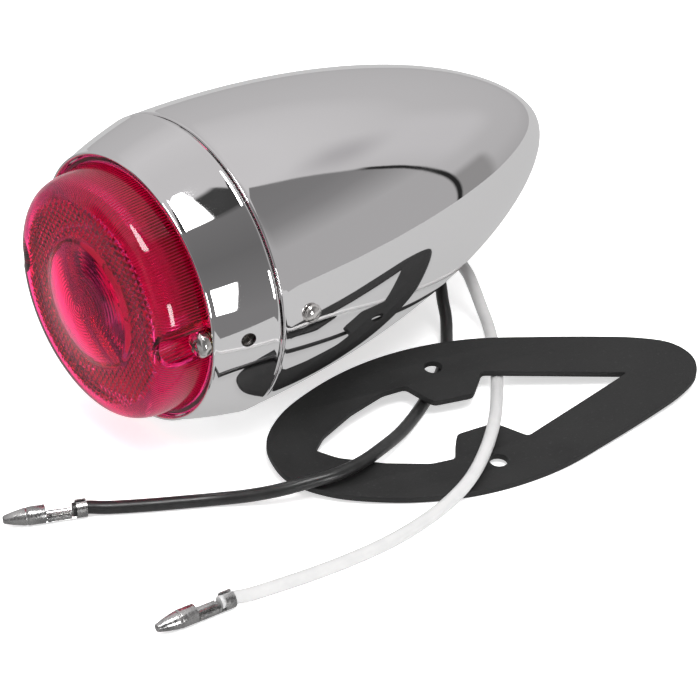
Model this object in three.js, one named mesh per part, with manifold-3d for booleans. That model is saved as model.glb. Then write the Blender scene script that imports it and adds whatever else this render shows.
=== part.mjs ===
// Bullet tail light for a motorcycle fender, with its loose rubber mounting gasket and two wires.
//
// A chromed bullet-shaped housing lies with its axis level. A chromed bezel and a red lens close its
// front, held by two screws that thread into a bracket inside. The same bracket carries the bulb
// socket. The underside of the housing is open along a sloping cut, where the lamp sits on a
// fender: bolts from below reach two nuts on a bar across the opening, and the wires leave there.
//
// Units are millimetres. The lamp's own frame has +X from the lens to the tail along the lamp's
// axis, x = 0 close to the seam between bezel and housing, and +Z up.

import * as THREE from 'three';
import { mergeVertices } from 'three/addons/utils/BufferGeometryUtils.js';
import Module from 'manifold-3d';

const wasm = await Module();
wasm.setup();

// ---------------------------------------------------------------- driving dimensions

// Where the lamp stands in the part's frame
const LAMP_X = -35.9;
const LAMP_Y = 18.8;
const AXIS_HEIGHT = 33.9;

// Housing
const SEAM_RADIUS = 33.5;
const TAIL_LENGTH = 100;
const TAIL_FULLNESS = 0.6;
const HOUSING_WALL = 1.2;
const HOUSING_FRONT = 0.85;

// Sloping cut under the housing
const CUT_FRONT_X = 5;
const CUT_FRONT_Z = -31.5;
const CUT_SLOPE = 0.2575;

// Bezel
const LIP_X = -14.5;
const LIP_RADIUS = 30;
const BEZEL_WALL = 1;
const BEZEL_REAR = 0.35;
const SIDE_HOLE_X = -7.1;
const SIDE_HOLE_RADIUS = 1.6;
const LEDGE_REAR = -9.8;
const LEDGE_INNER_RADIUS = 24.8;

// Lens
const LENS_FACE_X = -25;
const BULLSEYE_RADIUS = 14.1;
const BULLSEYE_RISE = 3.2;
const LENS_RADIUS = 27.5;
const LENS_WALL = 2;
const FLANGE_RADIUS = 29;
const FLANGE_FRONT = -13.4;
const FLANGE_REAR = -12.2;

// Lens screws, one on each side
const LENS_SCREW_Y = 26.8;
const LENS_SCREW_RADIUS = 1.25;
const NOTCH_RADIUS = 3.4;

// Bracket and its side screws
const STRAP_THICKNESS = 1.2;
const STRAP_WIDTH = 9;
const SIDE_SCREW_X = 8.2;
const SIDE_SCREW_Z = 1.1;
const SIDE_SCREW_RADIUS = 1.5;
const WEB_X = 15.6;

// Bulb and socket
const SOCKET_INNER_RADIUS = 7.75;
const SOCKET_OUTER_RADIUS = 8.5;
const SOCKET_FRONT = 1.5;
const SOCKET_REAR = 24.3;
const PIN_X = 9;
const PIN_RADIUS = 1;
const PUSH_TRAVEL = 1.6;
const TURN_ANGLE = THREE.MathUtils.degToRad(25);

// Mounting bar, nuts and grommet, in the frame of the sloping cut
const CUT_ORIGIN_X = 49.5;
const BAR_BOTTOM = 6;
const BAR_THICKNESS = 2;
const NUT_X = -5;
const NUT_Y = 16;
const NUT_BORE_RADIUS = 1.65;
const NUT_COLLAR_RADIUS = 2.6;
const GROMMET_X = 17;
const BORE_Y = 2.9;
const BORE_RADIUS = 1.7;

// Wires and their bullet connectors
const WIRE_RADIUS = 1.4;
const BARREL_RADIUS = 1.95;
const CRIMP_GRIP = 2.9;

// Gasket
const GASKET_THICKNESS = 1.5;
const GASKET_X = 10.1;
const GASKET_Y = -30.2;
const GASKET_LIFT = 2.5;
const GASKET_TURN = THREE.MathUtils.degToRad(-16);
const GASKET_TILT = THREE.MathUtils.degToRad(5.8);
const GASKET_HOLE_X = -7.2;
const GASKET_HOLE_Y = 16.6;
const GASKET_HOLE_RADIUS = 2.5;

// Number of facets round a turned piece, from the housing down to the screws
const LARGE_ROUND = 40;
const SOCKET_ROUND = 28;
const MIDDLE_ROUND = 20;
const SMALL_ROUND = 12;

// ---------------------------------------------------------------- finishes

function finish(color, roughness, metalness) {
  return new THREE.MeshStandardMaterial({ color, roughness, metalness });
}

const CHROME = finish(0xd8dadd, 0.05, 1);
const ZINC_STEEL = finish(0xa9adb0, 0.35, 1);
const RED_LENS = finish(0xb00824, 0.12, 0);
const CLEAR_GLASS = finish(0xe8eef0, 0.05, 0);
const WHITE_PAINT = finish(0xe6e4df, 0.4, 0);
const BRASS = finish(0xc2a04e, 0.3, 1);
const TINNED = finish(0xb9b5ac, 0.3, 1);
const SOLDER = finish(0x9a9ca0, 0.45, 1);
const INSULATION = finish(0x2b2724, 0.6, 0);
const TUNGSTEN = finish(0x6a6a6e, 0.4, 1);
const BLACK_RUBBER = finish(0x26262a, 0.85, 0);
const BLACK_VINYL = finish(0x18181a, 0.45, 0);
const WHITE_VINYL = finish(0xe4e2df, 0.45, 0);

// ---------------------------------------------------------------- shape helpers

/** A manifold solid from a closed three.js geometry, with its faces turned outwards. */
function solidOf(geometry) {
  const plain = geometry.clone();
  plain.deleteAttribute('normal');
  plain.deleteAttribute('uv');
  const merged = mergeVertices(plain, 1e-4);
  const place = merged.getAttribute('position');
  const corners = merged.getIndex().array;
  const faces = [];
  for (let i = 0; i < corners.length; i += 3) {
    const [a, b, c] = [corners[i], corners[i + 1], corners[i + 2]];
    if (a !== b && b !== c && c !== a) faces.push([a, b, c]);
  }
  const point = (i) => new THREE.Vector3().fromBufferAttribute(place, i);
  const volume = faces.reduce((sum, [a, b, c]) => sum + point(a).dot(point(b).cross(point(c))), 0);
  const outward = volume > 0 ? faces : faces.map(([a, b, c]) => [a, c, b]);
  return new wasm.Manifold(new wasm.Mesh({
    numProp: 3,
    vertProperties: new Float32Array(place.array),
    triVerts: new Uint32Array(outward.flat()),
  }));
}

/** The three.js geometry of a manifold solid. */
function geometryOf(solid) {
  const mesh = solid.getMesh();
  const geometry = new THREE.BufferGeometry();
  geometry.setAttribute('position', new THREE.BufferAttribute(mesh.vertProperties, mesh.numProp));
  geometry.setIndex(new THREE.BufferAttribute(mesh.triVerts, 1));
  return geometry;
}

/** Adds one named piece, made of a geometry or a solid, to a group. */
function addPiece(group, name, shape, material) {
  const solid = shape.isBufferGeometry ? solidOf(shape) : shape;
  const mesh = new THREE.Mesh(geometryOf(solid), material);
  mesh.name = name;
  group.add(mesh);
  return mesh;
}

/** A geometry turned about the X axis from a list of [x, radius] points. */
function turned(profile, facets) {
  const points = profile.map(([x, radius]) => new THREE.Vector2(radius, x));
  return new THREE.LatheGeometry(points, facets).rotateZ(-Math.PI / 2);
}

/** A ring about the X axis with a rectangular section. */
function ring(xFront, xRear, inner, outer, facets) {
  const section = [[xFront, inner], [xFront, outer], [xRear, outer], [xRear, inner], [xFront, inner]];
  return turned(section, facets);
}

/** A round bar along X, centred on (y, z). */
function barAlongX(xFront, xRear, radius, y, z, facets = SMALL_ROUND) {
  const bar = new THREE.CylinderGeometry(radius, radius, xRear - xFront, facets);
  return bar.rotateZ(-Math.PI / 2).translate((xFront + xRear) / 2, y, z);
}

/** A round bar along Y, centred on (x, z). */
function barAlongY(yLow, yHigh, radius, x, z, facets = SMALL_ROUND) {
  const bar = new THREE.CylinderGeometry(radius, radius, yHigh - yLow, facets);
  return bar.translate(x, (yLow + yHigh) / 2, z);
}

/** A round bar along Z, centred on (x, y). */
function barAlongZ(zLow, zHigh, radius, x, y, facets = SMALL_ROUND) {
  const bar = new THREE.CylinderGeometry(radius, radius, zHigh - zLow, facets);
  return bar.rotateX(Math.PI / 2).translate(x, y, (zLow + zHigh) / 2);
}

/** A box between two corners. */
function block(low, high) {
  const size = high.map((value, i) => value - low[i]);
  const middle = high.map((value, i) => (value + low[i]) / 2);
  return new THREE.BoxGeometry(...size).translate(...middle);
}

/** A flat outline in X and Y, thickened upwards from z = low to z = high. */
function plate(shape, low, high, curveSegments = 8) {
  const options = { depth: high - low, bevelEnabled: false, curveSegments };
  return new THREE.ExtrudeGeometry(shape, options).translate(0, 0, low);
}

/** A tube along a smooth curve through a list of [x, y, z] points. */
function tube(points, radius, steps, sides = 8) {
  const curve = new THREE.CatmullRomCurve3(points.map((p) => new THREE.Vector3(...p)));
  const section = new THREE.Shape();
  section.absarc(0, 0, radius, 0, 2 * Math.PI);
  return new THREE.ExtrudeGeometry(section, { steps, extrudePath: curve, curveSegments: sides / 2 });
}

/** The outline of a bent strip of constant thickness along a list of [x, y] points. */
function stripOutline(path, thickness) {
  const points = path.map((p) => new THREE.Vector2(...p));
  const normals = points.slice(1).map((p, i) => {
    const along = p.clone().sub(points[i]).normalize();
    return new THREE.Vector2(-along.y, along.x);
  });
  const sides = points.map((p, i) => {
    const before = normals[Math.max(i - 1, 0)];
    const after = normals[Math.min(i, normals.length - 1)];
    const mitre = before.clone().add(after).normalize();
    return mitre.multiplyScalar(thickness / 2 / mitre.dot(after));
  });
  const left = points.map((p, i) => p.clone().add(sides[i]));
  const right = points.map((p, i) => p.clone().sub(sides[i]));
  return new THREE.Shape([...left, ...right.reverse()]);
}

/** A joined solid of several geometries. */
function joined(...geometries) {
  return geometries.map(solidOf).reduce((sum, next) => sum.add(next));
}

/** A solid with several geometries cut out of it. */
function cut(solid, ...geometries) {
  return geometries.map(solidOf).reduce((rest, tool) => rest.subtract(tool), solid);
}

const SIDES = [['right', -1], ['left', 1]];

// ---------------------------------------------------------------- the lamp's shells

/** Outside radius of the bullet at a distance x behind the seam. */
function bulletRadius(x, seamRadius, length) {
  return seamRadius * (1 - (x / length) ** 2) ** TAIL_FULLNESS;
}

/** Points along the bullet from near the seam to its tip, closer together towards the tip. */
function bulletCurve(firstX, seamRadius, length) {
  const count = 12;
  const firstAngle = Math.asin(firstX / length);
  const points = [];
  for (let i = 0; i < count; i += 1) {
    const x = length * Math.sin(firstAngle + (Math.PI / 2 - firstAngle) * i / count);
    points.push([x, bulletRadius(x, seamRadius, length)]);
  }
  return [...points, [length, 0]];
}

function housing() {
  const front = HOUSING_FRONT;
  const bead = [
    [front, 32.3], [front, 33.2], [front + 0.4, 33.7], [front + 1.1, 33.75], [front + 1.7, SEAM_RADIUS],
  ];
  const outside = bulletCurve(3.5, SEAM_RADIUS, TAIL_LENGTH);
  const inside = bulletCurve(3, SEAM_RADIUS - HOUSING_WALL, TAIL_LENGTH - 1.5 * HOUSING_WALL);
  const profile = [...inside.reverse(), ...bead, ...outside];
  const rear = TAIL_LENGTH + 6;
  const belowCut = new THREE.Shape([
    new THREE.Vector2(CUT_FRONT_X, CUT_FRONT_Z),
    new THREE.Vector2(CUT_FRONT_X, -60),
    new THREE.Vector2(rear, -60),
    new THREE.Vector2(rear, CUT_FRONT_Z + CUT_SLOPE * (rear - CUT_FRONT_X)),
  ]);
  const underside = plate(belowCut, -40, 40).rotateX(Math.PI / 2);
  const screwHoles = barAlongY(-40, 40, SIDE_SCREW_RADIUS + 0.2, SIDE_SCREW_X, SIDE_SCREW_Z);
  return cut(solidOf(turned(profile, LARGE_ROUND)), underside, screwHoles);
}

function bezel() {
  const rear = BEZEL_REAR;
  const ledgeFront = LEDGE_REAR - 1;
  const profile = [
    [LIP_X + 0.6, 29.4], [LIP_X + 0.1, 29.4], [LIP_X, 29.65], [LIP_X + 0.2, 29.9],
    [LIP_X + 0.7, LIP_RADIUS], [rear - 2.1, 33.2], [rear - 1.5, 33.6], [rear - 0.85, 33.9], [rear - 0.3, 33.6], [rear, 33.1],
    [rear, 33.1 - BEZEL_WALL], [LEDGE_REAR, 30.1], [LEDGE_REAR, LEDGE_INNER_RADIUS],
    [ledgeFront, LEDGE_INNER_RADIUS], [ledgeFront, 29.5], [LIP_X + 0.6, 29.4],
  ];
  const sideHoles = barAlongY(-40, 40, SIDE_HOLE_RADIUS, SIDE_HOLE_X, 0);
  const screwHoles = SIDES.map(([, side]) => barAlongX(-12, -9, 1.6, side * LENS_SCREW_Y, 0));
  return cut(solidOf(turned(profile, LARGE_ROUND)), sideHoles, ...screwHoles);
}

function lens() {
  const dome = [];
  const steps = 4;
  for (let i = 0; i <= steps; i += 1) {
    const share = i / steps;
    dome.push([LENS_FACE_X - BULLSEYE_RISE * (1 - share ** 2), BULLSEYE_RADIUS * share]);
  }
  const outside = [
    ...dome, [LENS_FACE_X, 23.3], [LENS_FACE_X + 0.5, 25.1], [LENS_FACE_X + 1.3, 26.1],
    [LENS_FACE_X + 2.6, 26.7], [FLANGE_FRONT, LENS_RADIUS], [FLANGE_FRONT, FLANGE_RADIUS],
    [FLANGE_REAR, FLANGE_RADIUS], [FLANGE_REAR, 0],
  ];
  const cavity = [
    ...dome.map(([x, radius]) => [x + LENS_WALL, radius]), [LENS_FACE_X + LENS_WALL, 23],
    [LENS_FACE_X + LENS_WALL + 1.2, 24.7], [FLANGE_REAR + 1, LENS_RADIUS - LENS_WALL], [FLANGE_REAR + 1, 0],
  ];
  const spots = SIDES.map(([, side]) => side * LENS_SCREW_Y);
  const notches = spots.map((y) => barAlongX(-40, FLANGE_FRONT, NOTCH_RADIUS, y, 0, 20));
  const screwHoles = spots.map((y) => barAlongX(-20, -10, 1.6, y, 0));
  const notchWalls = spots.map((y) => barAlongX(-40, 0, NOTCH_RADIUS + 1.6, y, 0, 20));
  const hollow = cut(solidOf(turned(cavity, LARGE_ROUND)), ...notchWalls);
  return cut(solidOf(turned(outside, LARGE_ROUND)), ...notches, ...screwHoles).subtract(hollow);
}

function lensSeal() {
  const screwHoles = SIDES.map(([, side]) => barAlongX(-13, -10, 1.6, side * LENS_SCREW_Y, 0));
  return cut(solidOf(ring(-11.9, -11.1, 25, FLANGE_RADIUS - 0.1, LARGE_ROUND)), ...screwHoles);
}

// ---------------------------------------------------------------- fasteners

/** A pan-head screw along X with a cross recess, its head towards the front. */
function lensScrew(y) {
  const head = [[-17.1, 0], [-17, 1.3], [-16.5, 2.25], [-15.8, 2.6], [-14.75, 2.6], [-14.75, 0]];
  const shank = barAlongX(-15, -5.4, LENS_SCREW_RADIUS, 0, 0);
  const recess = [block([-18, -0.35, -1.4], [-16, 0.35, 1.4]), block([-18, -1.4, -0.35], [-16, 1.4, 0.35])];
  return cut(joined(turned(head, SMALL_ROUND), shank), ...recess).translate([0, y, 0]);
}

function lockWasher(y) {
  const body = solidOf(ring(-14.65, -14.1, 1.45, 2.4, 20));
  return cut(body, block([-15, 1, -0.25], [-13, 3, 0.25])).translate([0, y, 0]);
}

function flatWasher(y) {
  return ring(-14, -13.55, 1.45, 2.5, 20).translate(0, y, 0);
}

/** A dome-headed screw along Y, through the housing wall into the bracket's arm. */
function sideScrew(side) {
  const head = [[33.5, 0], [33.5, 2.15], [34, 2.1], [34.5, 1.65], [34.85, 0.9], [34.95, 0]];
  const dome = turned(head, SMALL_ROUND).rotateZ(Math.PI / 2);
  const shank = barAlongY(26.9, 33.6, SIDE_SCREW_RADIUS, 0, 0);
  return joined(dome, shank).rotate([0, 0, side > 0 ? 0 : 180]).translate([SIDE_SCREW_X, 0, SIDE_SCREW_Z]);
}

function sideNut(side) {
  const nut = solidOf(barAlongY(27.3, 29.6, 3, 0, 0, 6));
  const bored = cut(nut, barAlongY(20, 40, SIDE_SCREW_RADIUS + 0.1, 0, 0));
  return bored.rotate([0, 0, side > 0 ? 0 : 180]).translate([SIDE_SCREW_X, 0, SIDE_SCREW_Z]);
}

// ---------------------------------------------------------------- bracket, reflector and socket

/** One strip bent into a bridge: a web across the housing, two arms forward and a tab on each. */
function bracket() {
  const web = WEB_X + STRAP_THICKNESS / 2;
  const arm = 30.4;
  const tab = LEDGE_REAR + 0.3 + STRAP_THICKNESS / 2;
  const half = [[web, 27.2], [14.4, 29.5], [12, arm], [3, arm], [tab + 0.4, 28.8], [tab, 28.4], [tab, 23.8]];
  const path = [...half.map(([x, y]) => [x, -y]).reverse(), ...half];
  const strip = plate(stripOutline(path, STRAP_THICKNESS), -STRAP_WIDTH / 2, STRAP_WIDTH / 2);
  const disc = barAlongX(WEB_X, WEB_X + STRAP_THICKNESS, 13, 0, 0, MIDDLE_ROUND);
  const socketHole = barAlongX(10, 20, SOCKET_OUTER_RADIUS + 0.15, 0, 0, MIDDLE_ROUND);
  const sideHoles = barAlongY(-40, 40, SIDE_SCREW_RADIUS + 0.1, SIDE_SCREW_X, SIDE_SCREW_Z);
  const tabHoles = SIDES.map(([, side]) => (
    barAlongX(-12, -6, LENS_SCREW_RADIUS + 0.1, side * LENS_SCREW_Y, 0)
  ));
  return cut(joined(strip, disc), socketHole, sideHoles, ...tabHoles);
}

/** A dished reflector whose collar sits round the front of the socket. */
function reflector() {
  const profile = [
    [10.5, 8.8], [10.5, 9.6], [6, 9.6], [4, 11], [-1, 17], [-7, 23.6], [-7.6, 24], [-7.9, 23.3],
    [-7.3, 22.9], [-1.4, 16.2], [3.4, 10.2], [5.2, 8.8], [10.5, 8.8],
  ];
  return solidOf(turned(profile, SOCKET_ROUND));
}

/** The part of a ring between two angles, measured from +Z towards +Y, from xFront to xRear. */
function ringSector(xFront, xRear, inner, outer, fromAngle, toAngle) {
  const shape = new THREE.Shape();
  shape.absarc(0, 0, outer, fromAngle, toAngle, false);
  shape.absarc(0, 0, inner, toAngle, fromAngle, true);
  const flat = plate(shape, xFront, xRear, 6);
  return flat.applyMatrix4(new THREE.Matrix4().makeBasis(
    new THREE.Vector3(0, 0, 1),
    new THREE.Vector3(0, 1, 0),
    new THREE.Vector3(1, 0, 0),
  ));
}

/** The tube that holds the bulb, with two bayonet slots, a flange and a rear lip. */
function bulbSocket() {
  const flangeFront = WEB_X - 1.3;
  const profile = [
    [SOCKET_FRONT, SOCKET_INNER_RADIUS], [SOCKET_FRONT, SOCKET_OUTER_RADIUS],
    [flangeFront, SOCKET_OUTER_RADIUS], [flangeFront, 11], [WEB_X - 0.1, 11],
    [WEB_X - 0.1, SOCKET_OUTER_RADIUS], [SOCKET_REAR, SOCKET_OUTER_RADIUS], [SOCKET_REAR, 4.6],
    [SOCKET_REAR - 0.8, 4.6], [SOCKET_REAR - 0.8, SOCKET_INNER_RADIUS], [SOCKET_FRONT, SOCKET_INNER_RADIUS],
  ];
  const slack = 0.25;
  const pinSpan = (PIN_RADIUS + slack) / SOCKET_INNER_RADIUS;
  const slotFront = PIN_X - PIN_RADIUS - slack;
  const slotRear = PIN_X + PIN_RADIUS + PUSH_TRAVEL + slack;
  const slots = [0, Math.PI].flatMap((base) => [
    ringSector(slotFront, slotRear, 6.5, 10, base - pinSpan, base + TURN_ANGLE + pinSpan),
    ringSector(0, slotRear, 6.5, 10, base + TURN_ANGLE - pinSpan, base + TURN_ANGLE + pinSpan),
  ]);
  return cut(solidOf(turned(profile, SOCKET_ROUND)), ...slots);
}

// ---------------------------------------------------------------- contact and bulb

/** The insulating disc that slides in the socket and carries the contact button. */
function contactCarrier() {
  return solidOf(ring(17, 19, 2.2, 7.4, MIDDLE_ROUND));
}

function contactButton() {
  const section = [[16.75, 0], [16.75, 2.6], [16.95, 2.6], [16.95, 2], [20.2, 2], [20.2, 0]];
  return solidOf(turned(section, SMALL_ROUND));
}

/** A helix of wire between the carrier and the socket's rear lip. */
function contactSpring() {
  const turns = 3;
  const stepsPerTurn = 10;
  const points = [];
  for (let i = 0; i <= turns * stepsPerTurn; i += 1) {
    const angle = 2 * Math.PI * i / stepsPerTurn;
    const x = 19.5 + 3.5 * i / (turns * stepsPerTurn);
    points.push([x, 5.8 * Math.cos(angle), 5.8 * Math.sin(angle)]);
  }
  return tube(points, 0.35, turns * stepsPerTurn, 6);
}

/** The bulb's glass: a ball and a neck, open at the rear inside the brass base. */
function bulbGlass() {
  const ball = 9;
  const ballX = -8.3;
  const glassWall = 0.6;
  const arc = (radius, count) => {
    const points = [];
    for (let i = 0; i <= count; i += 1) {
      const angle = THREE.MathUtils.degToRad(133) * i / count;
      points.push([ballX - radius * Math.cos(angle), radius * Math.sin(angle)]);
    }
    return points;
  };
  const outside = [...arc(ball, 9), [0.5, 6.3], [5, 6.3]];
  const inside = [...arc(ball - glassWall, 8), [0.5, 5.7], [5, 5.7]];
  return solidOf(turned([...outside, ...inside.reverse()], MIDDLE_ROUND));
}

function bulbBase() {
  const shell = [
    [2.5, 6.9], [2.5, 7.5], [14.9, 7.5], [15.5, 6.9], [15.5, 3.4], [14.9, 3.4], [14.7, 6.9], [2.5, 6.9],
  ];
  return solidOf(turned(shell, MIDDLE_ROUND));
}

/** One bayonet pin, standing out of the base along +Z or -Z. */
function bulbPin(side) {
  const low = side > 0 ? 7.55 : -8.45;
  return barAlongZ(low, low + 0.9, PIN_RADIUS, PIN_X, 0);
}

function bulbInsulator() {
  return ring(14.6, 16.1, 1.2, 3.1, SMALL_ROUND);
}

function bulbContact() {
  return turned([[15, 0], [15, 1], [16.2, 1], [16.2, 1.7], [16.5, 1.3], [16.6, 0]], SMALL_ROUND);
}

/** Two support wires joined by a coiled filament across their tips. */
function bulbFilament() {
  const coil = [];
  const turns = 6;
  for (let i = 0; i <= turns * 4; i += 1) {
    const angle = Math.PI / 2 * i;
    const y = -3 + 6 * i / (turns * 4);
    coil.push([-8.3 + 0.55 * Math.cos(angle), y, 0.55 * Math.sin(angle)]);
  }
  const supports = [[5.5, -1.6, 0], [-3, -2, 0], [-6.5, -3.1, 0]];
  const mirrored = [...supports].reverse().map(([x, y, z]) => [x, -y, z]);
  return tube([...supports, ...coil, ...mirrored], 0.2, 48, 4);
}

// ---------------------------------------------------------------- mounting parts in the opening

/** A flat outline with two straight sides along Y and round ends. */
function stadium(halfWidth, halfLength) {
  const shape = new THREE.Shape();
  const straight = halfLength - halfWidth;
  shape.absarc(0, straight, halfWidth, 0, Math.PI, false);
  shape.absarc(0, -straight, halfWidth, Math.PI, 2 * Math.PI, false);
  return shape;
}

/** A flat bar across the housing with a tongue to the rear that holds the grommet. */
function mountingBar() {
  const top = BAR_BOTTOM + BAR_THICKNESS;
  const crossBar = block([NUT_X - 6, -22.7, BAR_BOTTOM], [NUT_X + 6, 22.7, top]);
  const tongue = block([NUT_X, -9.5, BAR_BOTTOM], [GROMMET_X + 6.5, 9.5, top]);
  const window = plate(stadium(3.4, 6.2), BAR_BOTTOM - 1, top + 1).translate(GROMMET_X, 0, 0);
  const nutHoles = SIDES.map(([, side]) => (
    barAlongZ(BAR_BOTTOM - 1, top + 1, NUT_COLLAR_RADIUS + 0.1, NUT_X, side * NUT_Y, MIDDLE_ROUND)
  ));
  return cut(joined(crossBar, tongue), window, ...nutHoles);
}

/** A hexagonal nut above the bar, with a collar pressed into the bar's hole. */
function mountingNut(side) {
  const top = BAR_BOTTOM + BAR_THICKNESS;
  const hexagon = barAlongZ(top + 0.1, top + 3.1, 3.9, 0, 0, 6);
  const collar = barAlongZ(BAR_BOTTOM + 0.2, top + 1, NUT_COLLAR_RADIUS, 0, 0, MIDDLE_ROUND);
  const bore = barAlongZ(BAR_BOTTOM - 1, top + 4, NUT_BORE_RADIUS, 0, 0, MIDDLE_ROUND);
  return cut(joined(hexagon, collar), bore).translate([NUT_X, side * NUT_Y, 0]);
}

/** A rubber grommet with a flange on each face of the tongue and a bore for each wire. */
function wireGrommet() {
  const top = BAR_BOTTOM + BAR_THICKNESS;
  const body = joined(
    plate(stadium(3.2, 6), BAR_BOTTOM - 1.4, top + 1.4),
    plate(stadium(4.4, 7.2), BAR_BOTTOM - 1.4, BAR_BOTTOM - 0.1),
    plate(stadium(4.4, 7.2), top + 0.1, top + 1.4),
  );
  const bores = SIDES.map(([, side]) => barAlongZ(0, 14, BORE_RADIUS, 0, side * BORE_Y));
  return cut(body, ...bores).translate([GROMMET_X, 0, 0]);
}

// ---------------------------------------------------------------- wires, connectors and gasket

// Leads inside the housing, in the lamp's frame, ending in the grommet's bores
const BLACK_LEAD = [
  [20.5, 0, 0], [26, 0, 0], [33, -0.6, 0.6], [42, -1.6, 1.6], [51, -2.4, 2], [57.5, -2.9, 0.4],
  [61.4, -2.9, -2], [62.9, -2.9, -4.4], [63.6, -2.9, -6.8], [64.2, -2.9, -9],
];
const WHITE_LEAD = [
  [17.1, 11.2, 0], [21, 11.2, 0.2], [29, 10, 1.8], [39, 7, 3], [49, 4.4, 2.8], [57, 3, 0.8],
  [61.4, 2.9, -2], [62.9, 2.9, -4.4], [63.6, 2.9, -6.8], [64.2, 2.9, -9],
];

// Free wires, in the part's frame, from the grommet to the connectors
const BLACK_ROUTE = [
  [28.4, 15.9, 24.7], [29.3, 15.9, 21.2], [30, 15.2, 17.2], [29.6, 12.6, 12.8], [28, 8.6, 9.2],
  [26.1, 5.4, 6.6], [24.5, 2.4, 4.2], [22.3, -0.4, 2.4], [19.2, -3.9, 1.5], [14.3, -8.6, 1.45], [7.8, -13.5, 1.45],
  [1.4, -17.2, 1.45], [-4.8, -20.6, 1.7], [-11.8, -24.3, 2.7], [-20, -28, 4.5], [-26.7, -30, 5.3],
  [-33.3, -29.9, 5.2], [-39.6, -27.7, 4.6], [-44.4, -25.3, 3.7], [-49.7, -21.2, 2.3], [-55.2, -16.9, 1.5],
  [-61.8, -12.9, 1.45], [-68, -9.1, 1.45], [-74.2, -5, 1.5], [-77.8, -2.8, 2], [-80.6, -1.5, 2],
];
const WHITE_ROUTE = [
  [28.4, 21.7, 24.7], [29.3, 21.7, 21.2], [30.9, 20.6, 17.4], [33.2, 17, 14.2], [34.7, 12.2, 12],
  [35, 7.6, 9.7], [34.2, 3.8, 7.1], [33, 0.2, 4.8], [31.4, -3.9, 2.9], [28.8, -8.4, 1.8], [24.7, -14.1, 1.5],
  [19.4, -20.6, 1.9], [14.7, -25.8, 2.8], [10.5, -30.3, 4], [5.9, -35, 5.1], [0.7, -39.6, 5.5],
  [-4.4, -43.3, 5.1], [-9.5, -46.3, 4.4], [-15, -48.6, 3.7], [-22, -50.2, 2.8], [-30, -50.9, 2],
  [-38, -50.9, 1.5], [-47.5, -50.3, 1.45], [-55.8, -49.2, 1.45], [-63.8, -47.7, 1.45], [-69.5, -46.5, 1.5],
  [-73.2, -45.7, 2], [-76.1, -45.4, 2],
];

/** A male bullet connector: a crimp round the insulation, an open neck, a barrel and a tapered tip. */
function bulletConnector() {
  const crimp = cut(solidOf(barAlongX(0, 2.2, 1.95, 0, 0)), barAlongX(-1, 5, WIRE_RADIUS + 0.3, 0, 0));
  const wireCrimp = cut(solidOf(barAlongX(3.4, 8.3, 1.5, 0, 0)), block([3, -0.3, 0.2], [9, 0.3, 3]));
  const spine = block([1.8, -1, -1.9], [9, 1, -1.45]);
  const bullet = turned([
    [8.6, 0], [8.6, BARREL_RADIUS], [12.3, BARREL_RADIUS], [12.6, 1.55], [12.9, 1.75], [16.6, 1.05],
    [17.3, 0.6], [17.4, 0],
  ], MIDDLE_ROUND);
  return crimp.add(wireCrimp).add(solidOf(spine)).add(solidOf(bullet));
}

/** The gasket's outline: a leaf, broad towards the lens, with tabs into its opening. */
function gasketShape() {
  const half = [
    [-50.3, 7], [-44, 13.8], [-35, 18.8], [-25.5, 22.2], [-15.5, 24], [-5, 24.1], [6, 22.4], [18, 18.5],
    [31, 13.8], [40, 10], [46, 5.8],
  ];
  const around = [[-51.8, 0], ...half, [48.2, 0], ...half.map(([x, y]) => [x, -y]).reverse()];
  const edge = new THREE.CatmullRomCurve3(around.map(([x, y]) => new THREE.Vector3(x, y, 0)), true);
  const shape = new THREE.Shape(edge.getPoints(54).slice(0, -1).map((p) => new THREE.Vector2(p.x, p.y)));
  const halfOpening = [
    [-38.5, 4], [-30, 9], [-21, 12.6], [-15.5, 12.9], [-13.2, 8], [-11.8, 5.8], [-2.9, 5.2], [-1.2, 7.2],
    [2.2, 11.6],
  ];
  const opening = [[-42.2, 0], ...halfOpening, [32, 0], ...halfOpening.map(([x, y]) => [x, -y]).reverse()];
  shape.holes.push(new THREE.Path(opening.reverse().map((p) => new THREE.Vector2(...p))));
  return shape;
}

function gasket() {
  const boltHoles = SIDES.map(([, side]) => (
    barAlongZ(-1, 5, GASKET_HOLE_RADIUS, GASKET_HOLE_X, side * GASKET_HOLE_Y)
  ));
  return cut(solidOf(plate(gasketShape(), 0, GASKET_THICKNESS)), ...boltHoles);
}

// ---------------------------------------------------------------- assembly

const tailLight = new THREE.Group();

const lamp = new THREE.Group();
lamp.position.set(LAMP_X, LAMP_Y, AXIS_HEIGHT);
tailLight.add(lamp);

addPiece(lamp, 'housing', housing(), CHROME);
addPiece(lamp, 'bezel', bezel(), CHROME);
addPiece(lamp, 'lens', lens(), RED_LENS);
addPiece(lamp, 'lens_seal', lensSeal(), BLACK_RUBBER);
addPiece(lamp, 'bracket', bracket(), ZINC_STEEL);
for (const [name, side] of SIDES) {
  const y = side * LENS_SCREW_Y;
  addPiece(lamp, `lens_screw_${name}`, lensScrew(y), ZINC_STEEL);
  addPiece(lamp, `lock_washer_${name}`, lockWasher(y), ZINC_STEEL);
  addPiece(lamp, `flat_washer_${name}`, flatWasher(y), ZINC_STEEL);
  addPiece(lamp, `side_screw_${name}`, sideScrew(side), CHROME);
  addPiece(lamp, `side_nut_${name}`, sideNut(side), ZINC_STEEL);
}

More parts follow.
